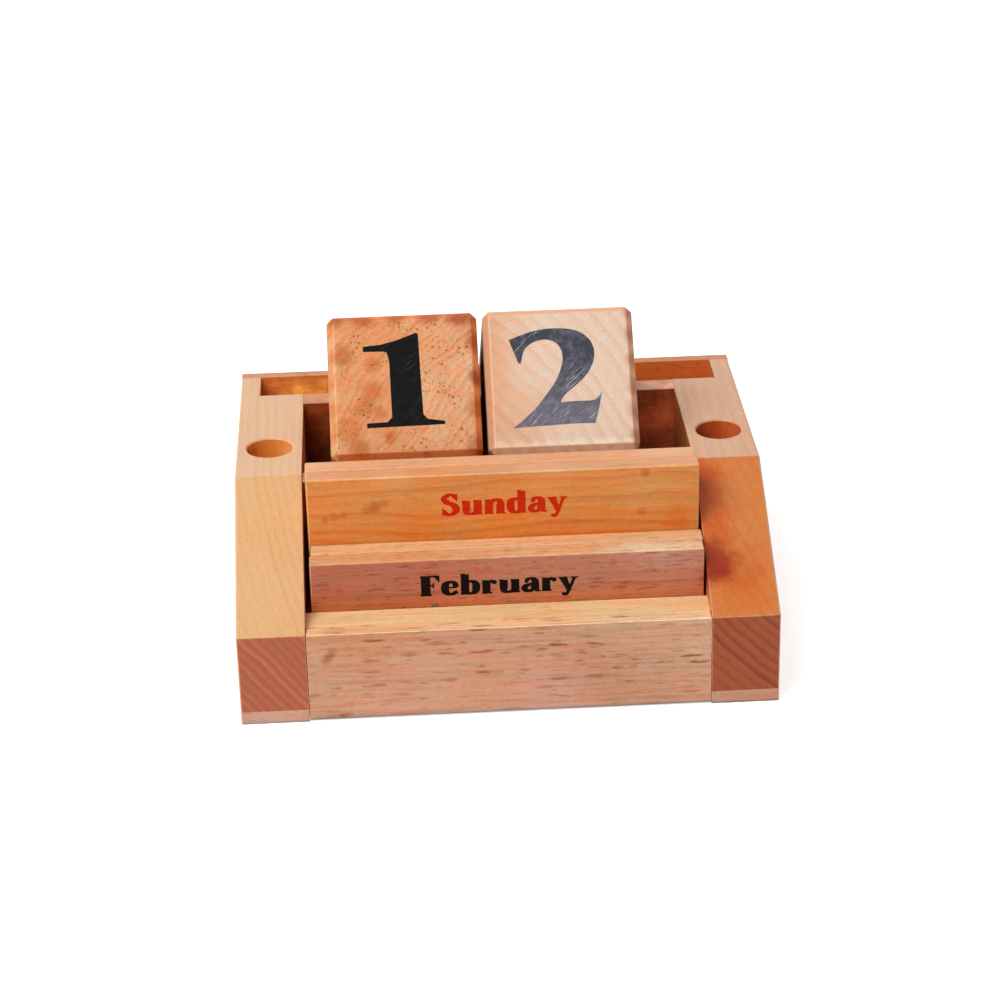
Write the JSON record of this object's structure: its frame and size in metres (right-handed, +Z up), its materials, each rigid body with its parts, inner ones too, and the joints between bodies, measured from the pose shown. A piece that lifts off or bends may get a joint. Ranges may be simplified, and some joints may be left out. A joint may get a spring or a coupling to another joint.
{
  "type": "desk calendar with drawer",
  "caption": "Wooden perpetual desk calendar: loose month and weekday name plates, leaning number cubes, a pen hole in each cheek, a card slot at the rear and a shallow drawer in front.",
  "frame": {"origin": "centre of the underside's outline, on the surface the calendar stands on", "axes": "+X to the right along the length, +Y from the drawer front to the rear, +Z up"},
  "size_m": [0.15, 0.1216, 0.0908],
  "materials": {
    "beech_base": "fine-sanded beech, thin satin oil",
    "beech_cheek": "fine-sanded beech, thin satin oil",
    "beech_rail": "fine-sanded beech, thin satin oil",
    "beech_inner": "fine-sanded beech, thin satin oil",
    "beech_rear": "fine-sanded beech, thin satin oil",
    "beech_front": "fine-sanded beech, thin satin oil",
    "beech_drawer": "fine-sanded beech, thin satin oil",
    "beech_plate": "fine-sanded beech, thin satin oil",
    "beech_cube": "fine-sanded beech, thin satin oil",
    "screw_steel": "zinc-plated, dull"
  },
  "bodies": {
    "stand": {"base_board": "beech_base", "left_cheek": "beech_cheek", "right_cheek": "beech_cheek", "front_rail": "beech_rail", "shelf_board": "beech_inner", "trough_partition": "beech_inner", "slot_divider": "beech_inner", "rear_board": "beech_rear", "base_screws": "screw_steel"},
    "drawer": {"drawer_front": "beech_front", "drawer_side_left": "beech_drawer", "drawer_side_right": "beech_drawer", "drawer_back": "beech_drawer", "drawer_bottom": "beech_drawer"},
    "month_plate_1": {"month_plate_1": "beech_plate"},
    "month_plate_2": {"month_plate_2": "beech_plate"},
    "day_plate_1": {"day_plate_1": "beech_plate"},
    "day_plate_2": {"day_plate_2": "beech_plate"},
    "month_plate_3": {"month_plate_3": "beech_plate"},
    "number_cube_left": {"number_cube_left": "beech_cube"},
    "number_cube_right": {"number_cube_right": "beech_cube"}
  },
  "joints": [
    {"name": "drawer_slide", "type": "slide", "parent": "stand", "child": "drawer", "axis": [0, -1, 0], "range_m": [0, 0.08]},
    {"name": "month_plate_1_lift", "type": "slide", "parent": "stand", "child": "month_plate_1", "axis": [0, 0, 1], "range_m": [0, 0.05]},
    {"name": "month_plate_2_lift", "type": "slide", "parent": "stand", "child": "month_plate_2", "axis": [0, 0, 1], "range_m": [0, 0.05]},
    {"name": "day_plate_1_lift", "type": "slide", "parent": "stand", "child": "day_plate_1", "axis": [0, 0, 1], "range_m": [0, 0.05]},
    {"name": "day_plate_2_lift", "type": "slide", "parent": "stand", "child": "day_plate_2", "axis": [0, 0, 1], "range_m": [0, 0.05]},
    {"name": "month_plate_3_lift", "type": "slide", "parent": "stand", "child": "month_plate_3", "axis": [0, 0, 1], "range_m": [0, 0.05]},
    {"name": "number_cube_left_lift", "type": "slide", "parent": "stand", "child": "number_cube_left", "axis": [0, 0, 1], "range_m": [0, 0.05]},
    {"name": "number_cube_right_lift", "type": "slide", "parent": "stand", "child": "number_cube_right", "axis": [0, 0, 1], "range_m": [0, 0.05]}
  ]
}
